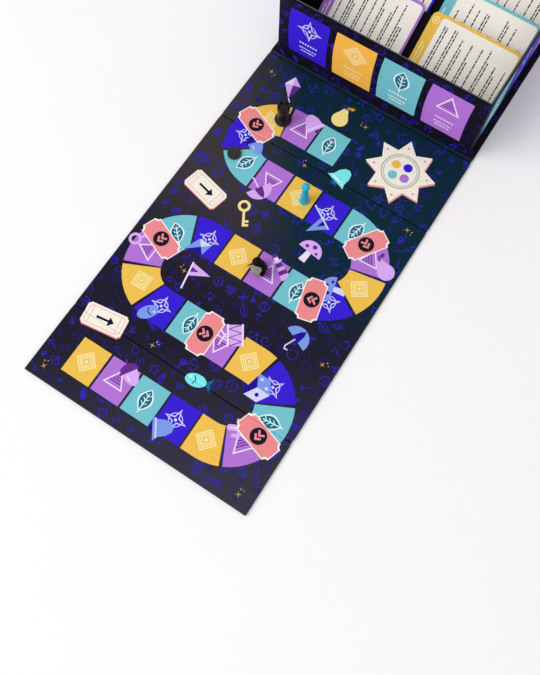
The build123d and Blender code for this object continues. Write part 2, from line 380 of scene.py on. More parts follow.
class Finish(Nodes):
    """A material in the making."""

    def __init__(self, name, **sockets):
        super().__init__(bpy.data.materials.new(name), "Principled BSDF")
        self.place = self.add("TexCoord").outputs["Object"]
        self.set(**sockets)

    def noise(self, scale, detail=3.0, stretch=(1.0, 1.0, 1.0)):
        """Cloudy values about one half, at a number of clouds to the metre."""
        spread = self.add("Mapping", Vector=self.place, Scale=stretch).outputs[0]
        return self.add("TexNoise", Vector=spread, Scale=scale, Detail=detail).outputs["Fac"]

    def ink(self):
        """The ink that the mesh carries."""
        node = self.add("Attribute")
        node.attribute_name = "ink"
        return node.outputs

    def mix(self, factor, first, second, blend="MIX"):
        node = self.add("Mix")
        node.data_type = "RGBA"
        node.blend_type = blend
        return self.fill(node, Factor=factor, A=first, B=second).outputs["Result"]

    def colour(self, colour, share, scale, stretch=(1.0, 1.0, 1.0)):
        """Gives the surface a colour that is lighter and darker by a share in clouds."""
        clouds = self.ranged(self.noise(scale, stretch=stretch), 1 - share, 1 + share)
        grey = self.add("CombineColor", Red=clouds, Green=clouds, Blue=clouds).outputs["Color"]
        self.set(Base_Color=self.mix(1.0, colour, grey, "MULTIPLY"))

    def rough(self, low, high, scale):
        self.set(Roughness=self.ranged(self.noise(scale), low, high))

    def bumps(self, height, strength, distance=0.0002):
        """Gives the surface its grain, and hands over the finished material."""
        bump = self.add("Bump", Height=height, Strength=strength, Distance=distance)
        return self.set(Normal=bump.outputs["Normal"]).owner


def printed(name, ground, turns=()):
    """Matt paper that shows the inks of its mesh over a ground, which may turn to other tones that paint a
    sheen of light.

    Inks that cover in part are broken up, like dry brush strokes.
    """
    made = Finish(name, Specular_IOR_Level=0.03)
    ink = made.ink()
    tone = light(ground)
    # Tones given along directions paint a sheen of light over the ground
    for other, direction, first, last in turns:
        reach = made.worked("VectorMath", "DOT_PRODUCT", made.place, direction)
        tone = made.mix(made.ranged(reach, 0.0, 1.0, first, last), tone, light(other))
    brush = made.ranged(made.noise(scale=420.0, detail=4.0), 0.3, 0.8)
    cover = made.worked("Math", "SUBTRACT", ink["Alpha"], brush)
    cover = made.ranged(cover, 0.0, 1.0, from_low=0.0, from_high=0.12)
    made.colour(made.mix(cover, tone, ink["Color"]), share=0.07, scale=750.0)
    made.rough(0.42, 0.54, scale=300.0)
    return made.bumps(made.noise(scale=2600.0, detail=2.0), strength=0.06)


def wrap_paper(name, rgb):
    """Dark covering paper with a fine grain and paler, worn edges."""
    made = Finish(name, Specular_IOR_Level=0.2)
    convex = made.add("NewGeometry").outputs["Pointiness"]
    rubbed = made.ranged(convex, 0.0, 0.35, from_low=0.52, from_high=0.62)
    made.colour(made.mix(rubbed, light(rgb), light((150, 146, 150))), share=0.14, scale=420.0)
    made.rough(0.42, 0.56, scale=260.0)
    return made.bumps(made.noise(scale=2100.0, detail=2.0), strength=0.08)


def book_cloth():
    """Woven cloth: two crossed sets of threads."""
    made = Finish("book_cloth", Roughness=0.75, Sheen_Weight=0.25)
    threads = []
    for turn in (0.0, math.pi / 2):
        spread = made.add("Mapping", Vector=made.place, Rotation=(0.0, 0.0, turn)).outputs[0]
        threads.append(made.add("TexWave", Vector=spread, Scale=420.0, Distortion=0.6).outputs["Fac"])
    weave = made.worked("Math", "MULTIPLY", *threads)
    made.set(Base_Color=made.mix(weave, light((12, 11, 20)), light((36, 33, 52))))
    return made.bumps(weave, strength=0.4)


def fibre_board(name, rgb):
    """Grey or dark board with flecks and drawn-out fibres."""
    made = Finish(name, Roughness=0.85, Specular_IOR_Level=0.08)
    fleck = made.ranged(made.noise(scale=1400.0, detail=4.0), 0.0, 1.0, from_low=0.52, from_high=0.66)
    base = made.mix(fleck, light(rgb), light([value * 0.72 for value in rgb]))
    made.colour(base, share=0.1, scale=180.0, stretch=(1.0, 5.0, 1.0))
    return made.bumps(made.noise(scale=900.0, detail=4.0, stretch=(1.0, 4.0, 1.0)), strength=0.25)


def plastic(name, rgb, low, high, share=0.06, **sockets):
    """Moulded plastic: slightly uneven in tone and gloss. Without a colour it shows the mesh's inks."""
    made = Finish(name, **sockets)
    made.colour(light(rgb) if rgb else made.ink()["Color"], share, scale=220.0)
    made.rough(low, high, scale=500.0)
    return made.bumps(made.noise(scale=1500.0, detail=2.0), strength=0.05)


def felt_cloth():
    made = Finish("felt", Roughness=0.95, Sheen_Weight=0.5)
    made.colour(light((24, 40, 34)), share=0.3, scale=2200.0)
    return made.bumps(made.noise(scale=3000.0, detail=4.0), strength=0.6, distance=0.0003)


def metal(name, rgb, stretch):
    made = Finish(name, Metallic=1.0)
    made.colour(light(rgb), share=0.1, scale=300.0, stretch=stretch)
    made.rough(0.24, 0.42, scale=260.0)
    return made.bumps(made.noise(scale=900.0, detail=2.0, stretch=stretch), strength=0.08, distance=0.0001)


# The board's ground tones paint a sheen of light on its print
board_paper = printed("board_print", sheened_board_ground, painted_sheen_turns)
tray_paper = printed("tray_print", palette["ground"])
lining_paper = printed("lining_print", (13, 12, 20))
card_paper = printed("card_print", palette["card"])
cover_paper = wrap_paper("cover_wrap", (24, 22, 34))
cloth = book_cloth()
grey_board = fibre_board("greyboard", (150, 146, 140))
dark_board = fibre_board("dark_board", (13, 12, 19))
corner_paper = fibre_board("corner_paper", (196, 178, 148))
rook_plastic = plastic("rook_plastic", (9, 8, 10), 0.16, 0.26, Specular_IOR_Level=0.24)
pawn_plastic = plastic("pawn_plastic", (14, 178, 208), 0.26, 0.38, Specular_IOR_Level=0.3)
penguin_plastic = plastic("penguin_plastic", None, 0.44, 0.6, Specular_IOR_Level=0.1)
puck_rubber = plastic("puck_rubber", (25, 26, 23), 0.45, 0.62, share=0.12, Specular_IOR_Level=0.35)
felt = felt_cloth()
steel = metal("disc_steel", (178, 180, 184), (1.0, 1.0, 6.0))
nickel = metal("magnet_nickel", (196, 194, 188), (1.0, 1.0, 1.0))


# Meshes
def linked(name, data):
    """A new object in the scene."""
    made = bpy.data.objects.new(name, data)
    bpy.context.scene.collection.objects.link(made)
    return made


def new_piece(name, points, faces, material, inks=None):
    """A mesh object. Inks names the ink of each face."""
    mesh = bpy.data.meshes.new(name)
    mesh.from_pydata([tuple(point) for point in points], [], faces)
    mesh.materials.append(material)
    if inks:
        layer = mesh.color_attributes.new("ink", "FLOAT_COLOR", "CORNER")
        colours = {ink: light(palette[ink], ink_cover_shares.get(ink, 1.0)) for ink in set(inks)}
        flat = [value for face, ink in zip(faces, inks) for _ in face for value in colours[ink]]
        layer.data.foreach_set("color", flat)
    return linked(name, mesh)


def moulded(name, shape, material):
    """A piece made of a bmesh, which is freed."""
    mesh = bpy.data.meshes.new(name)
    shape.to_mesh(mesh)
    shape.free()
    mesh.materials.append(material)
    return linked(name, mesh)


def joined(name, pieces):
    """One piece made of the meshes of several."""
    whole = bmesh.new()
    material = pieces[0].data.materials[0]
    for piece in pieces:
        whole.from_mesh(piece.data)
        bpy.data.objects.remove(piece)
    return moulded(name, whole, material)


def reshape(piece, kind, **settings):
    """Changes a piece's mesh for good with a modifier."""
    modifier = piece.modifiers.new(kind, kind)
    for name, value in settings.items():
        setattr(modifier, name, value)
    shaped = piece.evaluated_get(bpy.context.evaluated_depsgraph_get())
    mesh = bpy.data.meshes.new_from_object(shaped)
    piece.modifiers.clear()
    piece.data = mesh


def smooth(piece, degrees=35.0):
    """Smooth shading, except over edges sharper than an angle."""
    piece.data.polygons.foreach_set("use_smooth", [True] * len(piece.data.polygons))
    piece.data.set_sharp_from_angle(angle=math.radians(degrees))
    return piece


def stands_for(piece, body, node):
    """A piece that rides on a body and takes the place of a node."""
    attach(piece, body)
    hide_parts(node)


def skin(name, loops, material, closed=False, inks=None):
    """A piece through loops of points, capped at both ends unless it closes. An end may be one point.

    Inks names the ink of each stretch.
    """
    points, numbers, faces = [], [], []
    for loop in loops:
        numbers.append(range(len(points), len(points) + len(loop)))
        points += loop
    count = max(len(loop) for loop in loops)
    for first, second in zip(numbers, numbers[1:] + numbers[:1] * closed):
        for index in range(count):
            after = (index + 1) % count
            ends = (first[index % len(first)], first[after % len(first)])
            ends += (second[after % len(second)], second[index % len(second)])
            faces.append(tuple(dict.fromkeys(ends)))
    if inks:
        inks = [ink for ink in inks for _ in range(count)]
    if not closed and len(loops[0]) > 1:
        faces += [tuple(reversed(numbers[0])), tuple(numbers[-1])]
    return new_piece(name, points, faces, material, inks)


def prism(points, faces, front, back):
    """Adds a block between two rings, the front one counter-clockwise as seen from in front."""
    start, count = len(points), len(front)
    points += [*front, *back]
    faces += [tuple(range(start, start + count)), tuple(reversed(range(start + count, start + 2 * count)))]
    for index in range(count):
        after = (index + 1) % count
        faces.append((start + after, start + index, start + count + index, start + count + after))


def round_rectangle(low, high, inset, corner):
    """Points round a rectangle, counter-clockwise, drawn in by an inset, with round corners."""
    radius = max(corner - inset, corner / 4)
    low, high = Vector(low[:2]), Vector(high[:2])
    reach = (high - low) / 2 - Vector((inset + radius, inset + radius))
    points = []
    for quarter, side in enumerate(quarters):
        for turn in spaced(quarter, quarter + 1, round_steps):
            points.append((low + high) / 2 + reach * Vector(side) + arm(turn * math.pi / 2, radius))
    return points


def lofted(name, low, high, corner, profile, material, closed=False, inks=None):
    """Rectangles with round corners, one for each inset and height of a profile, joined in order."""
    loops = [[(*point, z) for point in round_rectangle(low, high, inset, corner)] for inset, z in profile]
    return smooth(skin(name, loops, material, closed, inks))


def quarter_profile(inset, z, radius, start):
    """Profile points round a quarter circle about a centre, from a starting angle in quarters."""
    arms = [arm(turn * math.pi / 2, radius) for turn in spaced(start, start + 1, round_steps)]
    return [(inset - x, z + y) for x, y in arms]


def lathe(name, profile, material):
    """A profile of radii and heights, turned about the Z axis. It starts and ends on the axis."""
    loops = [[(*point, z) for point in circle(radius, lathe_steps if radius else 1)] for radius, z in profile]
    return skin(name, loops, material)


# Flat drawings
def walk(stretches, start, heading, distance, offset=0.0):
    """Where some distance along straight runs and bends leads, off to the left by an offset."""
    point = start
    for length, bend in stretches:
        step = min(distance, length)
        if bend:
            centre = point + arm(heading + math.pi / 2, 1 / bend)
            heading += step * bend
            point = centre - arm(heading + math.pi / 2, 1 / bend)
        else:
            point = point + arm(heading, step)
        distance -= step
        if distance <= 0:
            break
    return point + arm(heading + math.pi / 2, offset), heading


def circle(radius=1.0, count=20, middle=(0.0, 0.0), start=0.0, end=360.0):
    """Points round a circle or, for less than a full turn, along an arc with both its ends."""
    steps = count if abs(end - start) >= 360 else count - 1
    angles = spaced(math.radians(start), math.radians(end), steps)[:count]
    return [Vector(middle) + arm(angle, radius) for angle in angles]


def triangle(radius):
    return circle(radius, 3, start=90, end=450)


def burst(tips, inner):
    """The outline of a star that points up."""
    angles = spaced(90, 450, 2 * tips)[:-1]
    return [arm(math.radians(angle), inner if index % 2 else 1.0) for index, angle in enumerate(angles)]


def both_sides(right):
    """An outline that is the same on both sides of the Y axis. Points on the axis aren't doubled."""
    return [*right, *[(-x, y) for x, y in right[::-1] if x > merge_distance]]


def leaf_ring(width, size=1.0):
    """A pointed leaf, upright."""
    return both_sides([(size * width * math.sin(math.pi * i / 8), size * (i / 4 - 1)) for i in range(9)])


def plate(length, width, notch):
    """A plate with its corners cut out in quarter rounds."""
    edge = []
    for quarter, (x, y) in enumerate(quarters):
        corner = (x * length, y * width)
        edge += circle(notch, round_steps, corner, 270 + 90 * quarter, 180 + 90 * quarter)
    return edge


class Drawing:
    """Flat shapes in the order they are drawn. Each has its ring of points and the name of its ink."""

    def __init__(self):
        self.shapes = []
        self.at((0.0, 0.0))

    def at(self, place, turn=0.0, size=1.0):
        """Sets the place, turn in radians and size of the shapes drawn next."""
        self.place = Vector(place)
        self.frame = Matrix.Rotation(turn, 2) * size
        self.size = size
        return self

    def fill(self, ink, points):
        self.shapes.append(([self.place + self.frame @ Vector(point) for point in points], ink))

    def line(self, ink, points, width, closed=False):
        """A line of some width, as one four-sided shape for each stretch."""
        spots = [Vector(point) for point in points]
        lead, tail = 2 * spots[0] - spots[1], 2 * spots[-1] - spots[-2]
        if closed:
            lead, tail = spots[-1], spots[0]
        sides = []
        for before, spot, after in zip([lead, *spots], spots, [*spots[1:], tail]):
            into, out = (spot - before).normalized(), (after - spot).normalized()
            across = (into + out).orthogonal().normalized()
            across *= width / 2 / max(abs(across.dot(into.orthogonal())), 1 / mitre_limit)
            sides.append((spot + across, spot - across))
        for (a, b), (c, d) in zip(sides, sides[1:] + sides[:1] * closed):
            self.fill(ink, (b, d, c, a))

    def figure(self, shapes, family=""):
        """Shapes in inks or in tints of a family."""
        for tint, points, width, closed in shapes:
            ink = tint if tint in palette else family + "_" + tint
            if width:
                self.line(ink, points, width, closed)
            else:
                self.fill(ink, points)


# Figures, in shares of their size. A shape has an ink or a family's tint, its points and its line's width
def patch(tint, *points):
    return tint, points, 0.0, False


def stroke(tint, width, *points):
    return tint, points, width, False


def ring(tint, width, points):
    return tint, points, width, True


emblem_shares = {
    "blue": (
        ring("line", 0.11, burst(4, 0.3)), ring("line", 0.07, circle(0.62)), patch("line", *circle(0.14, 12)),
    ),
    "yellow": (
        *[ring("line", 0.1, circle(radius, 4)) for radius in (1.0, 0.74, 0.48)],
        patch("line", *circle(0.2, 4)),
    ),
    "teal": (
        patch("line", *leaf_ring(0.62, 1.12)), patch("dark", *leaf_ring(0.55)),
        stroke("line", 0.09, (0, -1.3), (0, 0.7)),
        *[stroke("line", 0.07, (-0.3, y + 0.24), (0, y), (0.3, y + 0.24)) for y in (-0.45, -0.05, 0.35)],
    ),
    "purple": (
        ring("line", 0.12, triangle(1.05)),
        *[stroke("dark", 0.1, (-0.65 * y, 0.8 - y), (0.65 * y, 0.8 - y)) for y in (0.18, 0.42, 0.66, 0.9)],
    ),
}
hexagon = circle(1.0, 6, start=30, end=390)
picture_shares = {
    "acorn": (
        patch("light", *both_sides([(0.0, -1.0), (0.3, -0.75), (0.5, -0.3), (0.52, 0.1)])),
        patch("dark", *both_sides([(0.68, 0.08), (0.5, 0.5), (0.2, 0.66)])),
        stroke("dark", 0.12, (0, 0.6), (0.1, 0.98)), stroke("line", 0.08, (-0.25, -0.1), (-0.22, -0.5)),
    ),
    "bell": (
        patch("dark", *circle(0.2, 12, (0, -0.66))),
        patch("light", *both_sides([(0.85, -0.55), (0.6, -0.3), (0.52, 0.3), (0.3, 0.7), (0.0, 0.82)])),
        stroke("line", 0.1, (-0.66, -0.34), (0.66, -0.34)),
    ),
    "cactus": (
        patch("dark", (-0.42, -0.45), (-0.3, -1.0), (0.3, -1.0), (0.42, -0.45)),
        stroke("light", 0.42, (0, -0.45), (0, 0.85)), patch("light", *circle(0.21, 12, (0, 0.85))),
        stroke("light", 0.24, (0.1, 0), (0.5, 0), (0.5, 0.45)), stroke("line", 0.06, (0, -0.35), (0, 0.85)),
        stroke("light", 0.24, (-0.1, 0.25), (-0.5, 0.25), (-0.5, 0.7)),
    ),
    "die": (
        patch("line", *hexagon[:3], (0, 0)), patch("light", *hexagon[2:5], (0, 0)),
        patch("dark", *hexagon[4:], hexagon[0], (0, 0)), patch("dark", *circle(0.14, 10, (0, 0.5))),
        *[patch("line", *circle(0.12, 10, spot)) for spot in ((-0.6, 0.05), (-0.28, -0.55))],
    ),
    "drum": (
        patch("light", *rectangle((-0.75, -0.6), (0.75, 0.35))),
        stroke("dark", 0.08, *[(-0.75 + 0.3 * i, -0.55 if i % 2 else 0.3) for i in range(6)]),
        *[stroke("line", 0.13, (-0.79, y), (0.79, y)) for y in (-0.62, 0.38)],
        *[stroke("line", 0.1, (0.65 * side, 1.0), (-0.15 * side, 0.5)) for side in (-1, 1)],
    ),
    "fish": (
        patch("dark", (0.45, 0), (1.05, 0.45), (0.9, 0), (1.05, -0.45)),
        patch("light", *[(0.75 * x - 0.1, 0.45 * y) for x, y in circle(1.0, 18)]),
        stroke("dark", 0.08, (-0.25, 0.3), (-0.1, 0), (-0.25, -0.3)),
        patch("line", *circle(0.09, 10, (-0.5, 0.12))),
    ),
    "key": (
        ring("light", 0.2, circle(0.36, 16, (0, 0.6))), stroke("light", 0.18, (0, 0.25), (0, -1.0)),
        *[stroke("light", 0.18, (0, y), (0.36, y)) for y in (-0.9, -0.6)],
    ),
    "kite": (
        stroke("line", 0.07, (0, -0.9), (0.18, -1.2), (-0.1, -1.5), (0.15, -1.8)),
        patch("light", (0, -0.95), (0.62, 0.25), (0, 1.0), (-0.62, 0.25)),
        patch("dark", (0, -0.95), (0.62, 0.25), (0, 0.25)), patch("line", (0, 0.25), (0, 1.0), (-0.62, 0.25)),
    ),
    "lighthouse": (
        patch("light", (-0.36, -1.0), (0.36, -1.0), (0.2, 0.45), (-0.2, 0.45)),
        *[patch("dark", (-half, y), (half, y), (half - 0.04, y + 0.32), (0.04 - half, y + 0.32))
          for half, y in ((0.32, -0.6), (0.25, 0))],
        patch("line", *rectangle((-0.16, 0.45), (0.16, 0.78))),
        stroke("line", 0.1, (-0.32, 0.47), (0.32, 0.47)),
        patch("dark", (-0.26, 0.78), (0.26, 0.78), (0, 1.1)),
    ),
    "mushroom": (
        patch("line", (-0.26, -0.9), (0.26, -0.9), (0.18, 0.1), (-0.18, 0.1)),
        patch("light", *circle(0.9, 14, (0, -0.05), 0, 180)), patch("dark", *circle(0.14, 10, (-0.4, 0.25))),
        patch("dark", *circle(0.17, 10, (0.1, 0.5))), patch("dark", *circle(0.11, 10, (0.48, 0.15))),
    ),
    "pear": (
        patch("light", *circle(0.62, 12, (0, -0.35), 160, 380), *both_sides([(0.3, 0.35), (0.2, 0.62)])),
        stroke("dark", 0.1, (0, 0.55), (0.1, 0.95)),
        patch("dark", (0.1, 0.75), (0.45, 0.75), (0.6, 1.0), (0.25, 1.0)),
    ),
    "pennant": (
        stroke("line", 0.12, (-0.55, -1.1), (-0.55, 1.0)),
        patch("light", (-0.5, 0.95), (-0.5, -0.05), (0.95, 0.45)),
        patch("dark", (-0.5, 0.65), (-0.5, 0.25), (0.1, 0.45)),
    ),
    "umbrella": (
        stroke("line", 0.09, (0, 0.9), (0, -0.8), (0.14, -0.98), (0.34, -0.85)),
        patch("light", *circle(0.95, 15, (0, 0), 0, 180)),
        patch("dark", (-0.32, 0), (0.32, 0), (0.2, 0.6), (0, 0.93), (-0.2, 0.6)),
    ),
}
plaque_width_share = plaque_half_width / plaque_half_length
plaque_shares = (
    patch("white", *plate(1.0, plaque_width_share, 0.17)),
    patch("pink", *plate(0.955, plaque_width_share - 0.045, 0.19)), patch("disc", *circle(0.36, 28)),
    *[stroke("pink", 0.09, (-0.16, y - 0.1), (0, y + 0.06), (0.16, y - 0.1)) for y in (-0.1, 0.1)],
)
ticket_width_share = ticket_half_width / ticket_half_length
ticket_frame_share = ticket_width_share - 0.12
ticket_shares = (
    patch("cream", *plate(1.0, ticket_width_share, 0.1)),
    ring("pink", 0.022, plate(0.88, ticket_frame_share, 0.08)),
    *[stroke("pink", 0.022, (x, -ticket_frame_share), (x, ticket_frame_share)) for x in (-0.68, 0.68)],
    stroke("disc", 0.11, (-0.4, 0), (0.3, 0)), patch("disc", (0.2, -0.22), (0.48, 0), (0.2, 0.22)),
)
badge_shares = (
    patch("cream", *burst(8, 0.66)),
    ring("gold", 0.03, circle(0.52, 40)), ring("teal", 0.022, circle(0.46, 40)),
    *[patch(ink, *circle(0.13, 20, spot)) for ink, spot in zip(families, circle(0.24, 4, start=45, end=405))],
    *[patch("pink", *circle(0.035, 10, spot)) for spot in circle(0.76, 8, start=90, end=450)],
)
card_mark_shares = (ring("line", 0.08, circle(0.3, 18)), patch("line", *circle(0.13, 12)))
sparkle_shares = (
    patch("gold", *burst(4, 0.22)), patch("gold", *circle(0.24, 10, (1.5, -0.6))),
    patch("gold", *circle(0.18, 10, (1.1, -1.5))),
)


# Line figures scattered over the dark ground
def rings(*lines):
    return [(line, True) for line in lines]


def strokes(*lines):
    return [(line, False) for line in lines]


doodle_line_shares = (
    rings(circle(0.8, 14), circle(0.4, 10)),
    strokes([arm(0.9 * i, 0.1 * i) for i in range(1, 11)]),
    strokes([(-0.9, -0.3), (-0.45, 0.4), (0, -0.3), (0.45, 0.4), (0.9, -0.3)]),
    rings(burst(5, 0.45)),
    strokes([(-0.8, 0), (0.8, 0)], [(0, -0.8), (0, 0.8)], [(-0.5, -0.5), (0.5, 0.5)]),
    rings(triangle(0.9), triangle(0.4)),
    rings(circle(0.9, 4)) + strokes([(-0.9, 0), (0.9, 0)]),
    rings(leaf_ring(0.5)) + strokes([(0, -1.2), (0, 0.6)]),
    strokes([(-0.9, 0), (0.8, 0)], [(0.3, 0.5), (0.8, 0), (0.3, -0.5)]),
    rings(circle(0.85, 6)) + strokes([(-0.4, 0), (0.4, 0)]),
    rings([(-0.7, -0.7), (0.7, -0.7), (0.7, 0.2), (0, 0.8), (-0.7, 0.2)]),
    rings(circle(0.5, 10, (0.35, 0.35))) + strokes([(0, 0), (-0.9, -0.9)]),
)
doodle_patch_shares = (circle(0.5, 12), burst(4, 0.35), circle(0.55, 3), leaf_ring(0.45))


def scatter(drawing, low, high, pitch, seed):
    """Line figures on a loose grid between two corners."""
    chance = random.Random(seed)
    low, high = Vector(low[:2]), Vector(high[:2])
    columns, rows = (round(length / pitch) for length in high - low)
    for column in range(columns):
        for row in range(rows):
            stray_x, stray_y = (chance.uniform(-doodle_stray_share, doodle_stray_share) for _ in range(2))
            share = Vector(((column + 0.5 + stray_x) / columns, (row + 0.5 + stray_y) / rows))
            turn = chance.uniform(0, 2 * math.pi)
            drawing.at(low + (high - low) * share, turn, doodle_size * chance.uniform(*doodle_size_shares))
            ink = chance.choice(("doodle", "faint_doodle"))
            if chance.random() < doodle_fill_share:
                drawing.fill(ink, chance.choice(doodle_patch_shares))
                continue
            for points, closed in chance.choice(doodle_line_shares):
                drawing.line(ink, points, doodle_line / drawing.size, closed)


def partition(outline, cuts, shapes):
    """Cuts an outline into triangles along some lines and the edges of flat shapes.

    Gives the corners, and each triangle with the ink of the last shape that lies over it.
    """
    points, outlines, edges = [], [], []
    for spots in [outline] + [spots for spots, ink in shapes]:
        spots = [Vector(point) for point in spots]
        turn = sum(a.cross(b) for a, b in zip(spots, spots[1:] + spots[:1]))
        outlines.append(list(range(len(points), len(points) + len(spots))))
        points += spots if turn > 0 else spots[::-1]
    for line in cuts:
        edges.append((len(points), len(points) + 1))
        points += [Vector(point) for point in line]
    corners, _, triangles, _, _, owners = delaunay_2d_cdt(points, edges, outlines, 1, merge_distance)
    inks = ["ground"] + [ink for spots, ink in shapes]
    return corners, [(spots, inks[max(owner)]) for spots, owner in zip(triangles, owners) if 0 in owner]


def thin_sheet(name, corners, triangles, front, back, material):
    """A closed sheet. Front and back give the places of a flat corner on its two faces."""
    used = sorted({index for spots, ink in triangles for index in spots})
    number = {index: place for place, index in enumerate(used)}
    count = len(used)
    points = [front(corners[index]) for index in used] + [back(corners[index]) for index in used]
    faces, inks, borders = [], [], {}
    for spots, ink in triangles:
        a, b, c = (number[index] for index in spots)
        faces += [(a, b, c), (c + count, b + count, a + count)]
        inks += [ink, ink]
        borders.update({(a, b): ink, (b, c): ink, (c, a): ink})
    for (a, b), ink in borders.items():
        if (b, a) not in borders:
            faces.append((b, a, a + count, b + count))
            inks.append(ink)
    return new_piece(name, points, faces, material, inks)


def flat_sheet(name, outline, cuts, shapes, low_z, high_z, material):
    """A level sheet between two heights, with a drawing on it."""
    corners, triangles = partition(outline, cuts, shapes)
    return thin_sheet(name, corners, triangles, lambda p: (*p, high_z), lambda p: (*p, low_z), material)


def figured_sheet(name, node, outline, pitch, seed, material):
    """A level sheet in place of a node of the case, with line figures all over."""
    low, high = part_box(node)
    drawing = Drawing()
    scatter(drawing, low, high, pitch, seed)
    stands_for(flat_sheet(name, outline, [], drawing.shapes, low.z, high.z, material), "case", node)


# Board print
print_low_z, print_high_z = (corner.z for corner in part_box("lid_print"))
crease_depth = print_low_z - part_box("lid_fold_crease")[0].z
board_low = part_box("end_flap_print")[0]
board_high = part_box("front_fold_crease")[1]
bodies = ("case", "front_flap", "lid", "end_flap")
folds = ("front_fold", "lid_fold", "end_fold")
fold_spans = [[corner.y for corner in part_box(fold + "_crease")] for fold in folds]
track = [(first_run, 0.0)]
for radius, run in turns_and_runs:
    track += [(math.pi * abs(radius), 1 / radius), (run, 0.0)]
tile_pitch = (sum(length for length, bend in track) - tile_lead) / tile_count


def dip(y):
    """How far the print dips into a fold."""
    for low, high in fold_spans:
        if low < y < high:
            share = (2 * y - low - high) / (high - low)
            return crease_depth * ((1 + math.cos(math.pi * share)) / 2) ** dip_power
    return 0.0


def on_track(distance, offset=0.0):
    """A place on or beside the track, and the heading there."""
    return walk(track, lane_start, 0.0, distance, offset)


def draw_tiles(drawing):
    """Tiles along the track, each with its family's emblem and every other one with a picture."""
    names = sorted(picture_shares)
    for index in range(tile_count):
        family = tile_order[index % len(tile_order)]
        first = tile_lead + index * tile_pitch + tile_gap / 2
        last = tile_lead + (index + 1) * tile_pitch - tile_gap / 2
        steps = spaced(first, last, round_steps)
        right = [on_track(step, -tile_half_width)[0] for step in steps]
        left = [on_track(step, tile_half_width)[0] for step in reversed(steps)]
        drawing.at((0, 0)).fill(family, right + left)
        drawing.at(*on_track((first + last) / 2), emblem_size).figure(emblem_shares[family], family)
        if index % 2:
            side = 1 if index % 3 else -1
            spot, heading = on_track((first + last) / 2 + side * picture_shift, side * picture_offset)
            picture = picture_shares[names[index // 2 % len(names)]]
            drawing.at(spot, heading + side, picture_size).figure(picture, family)


def draw_raised(drawing, shapes, x, y, turn, size, edge):
    """A figure like a thick label, with a pink edge that shows along two sides."""
    turn = math.radians(turn)
    drawing.at(Vector((x, y)) + edge, turn, size).fill("pink", shapes[0][1])
    drawing.at((x, y), turn, size).figure(shapes)


def draw_board():
    """Line figures, painted shade along the folds' valleys, sparkles, the track, loose pictures, plaques,
    tickets and a badge.
    """
    drawing = Drawing()
    scatter(drawing, board_low, board_high, doodle_pitch, seeds["board"])
    # A dark line along each fold's valley: painted shade
    for fold_low, fold_high in fold_spans:
        y = (fold_low + fold_high) / 2
        drawing.at((0, 0)).line("score", ((board_low.x, y), (board_high.x, y)), crease_shade_width)
    for index, place in enumerate(sparkle_places):
        drawing.at(place, math.radians(sparkle_turn * index), sparkle_size).figure(sparkle_shares)
    draw_tiles(drawing)
    for x, y, turn, picture, family in loose_places:
        drawing.at((x, y), math.radians(turn), picture_size).figure(picture_shares[picture], family)
    for tile in plaque_tiles:
        middle, heading = on_track(tile_lead + tile * tile_pitch)
        drawing.at(middle, heading + math.pi / 2, plaque_half_length).figure(plaque_shares)
    for place in ticket_places:
        draw_raised(drawing, ticket_shares, *place, ticket_half_length, ticket_edge)
    draw_raised(drawing, badge_shares, *badge_place, badge_radius, badge_edge)
    return drawing.shapes


def bend_over(piece, node):
    """A piece in place of a fold's node, between the body behind it and the body in front; its transform is
    applied and it rides on neither.
    """
    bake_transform(piece)
    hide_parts(node)


def lay_board():
    """Cuts the drawing at the folds. Panels ride on their bodies, and the folds' pieces lie between two
    without riding on either.
    """
    low = (board_low.x + print_inset, board_low.y + print_inset)
    high = (board_high.x - print_inset, board_high.y)
    cuts = [((low[0], y), (high[0], y)) for span in fold_spans for y in spaced(*span, fold_steps)]
    corners, triangles = partition(rectangle(low, high), cuts, draw_board())

    def laid(name, low_y, high_y):
        """The part of the board between two places along it."""
        middles = [sum(corners[index].y for index in spots) / len(spots) for spots, _ in triangles]
        chosen = [part for part, middle in zip(triangles, middles) if low_y < middle < high_y]
        return thin_sheet(
            name, corners, chosen,
            lambda p: (*p, print_high_z - dip(p.y)), lambda p: (*p, print_low_z - dip(p.y)), board_paper,
        )

    for panel in bodies[1:]:
        node = panel + "_print"
        span = [corner.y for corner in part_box(node)]
        stands_for(laid(panel + "_printed", *span), panel, node)
    for fold, span in zip(folds, fold_spans):
        bend_over(laid(fold + "_printed", *span), fold + "_crease")


lay_board()


# Cover: wrapped panels, the cloth under the folds and the printed paper under the tray
def cover_panel(panel, body):
    """Covering paper turned in over the edges of a greyboard core."""
    low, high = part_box(panel + "_wrap")
    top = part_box(panel + "_print")[0].z
    sheet = high.z
    inner = sheet + (corner_round - edge_round) / 2
    profile = quarter_profile(edge_round, edge_round, edge_round, -1)
    profile += quarter_profile(edge_round, top - edge_round, edge_round, 0)
    profile += [(turn_in, top), (turn_in, top - sheet), (inner, top - sheet), (inner, sheet)]
    wrap = lofted(panel + "_wrapping", low, high, corner_round, profile, cover_paper)
    stands_for(wrap, body, panel + "_wrap")
    gap = inner + sheet / 4
    core = [(gap + edge_round, sheet), (gap, sheet + edge_round / 2)]
    core += [(gap, top - sheet - edge_round / 2), (gap + edge_round, top - sheet)]
    board = lofted(panel + "_core", low, high, corner_round, core, grey_board)
    stands_for(board, body, panel + "_board")


def cloth_strip(fold, span):
    """The cloth under a fold, in the fold's place."""
    low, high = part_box(fold + "_cloth")
    left, right = low.x + print_inset, high.x - print_inset
    cuts = [((left, y), (right, y)) for y in spaced(*span, fold_steps)[1:-1]]
    outline = rectangle((left, span[0]), (right, span[1]))
    strip = flat_sheet(fold + "_strip", outline, cuts, [], low.z, high.z, cloth)
    bend_over(strip, fold + "_cloth")


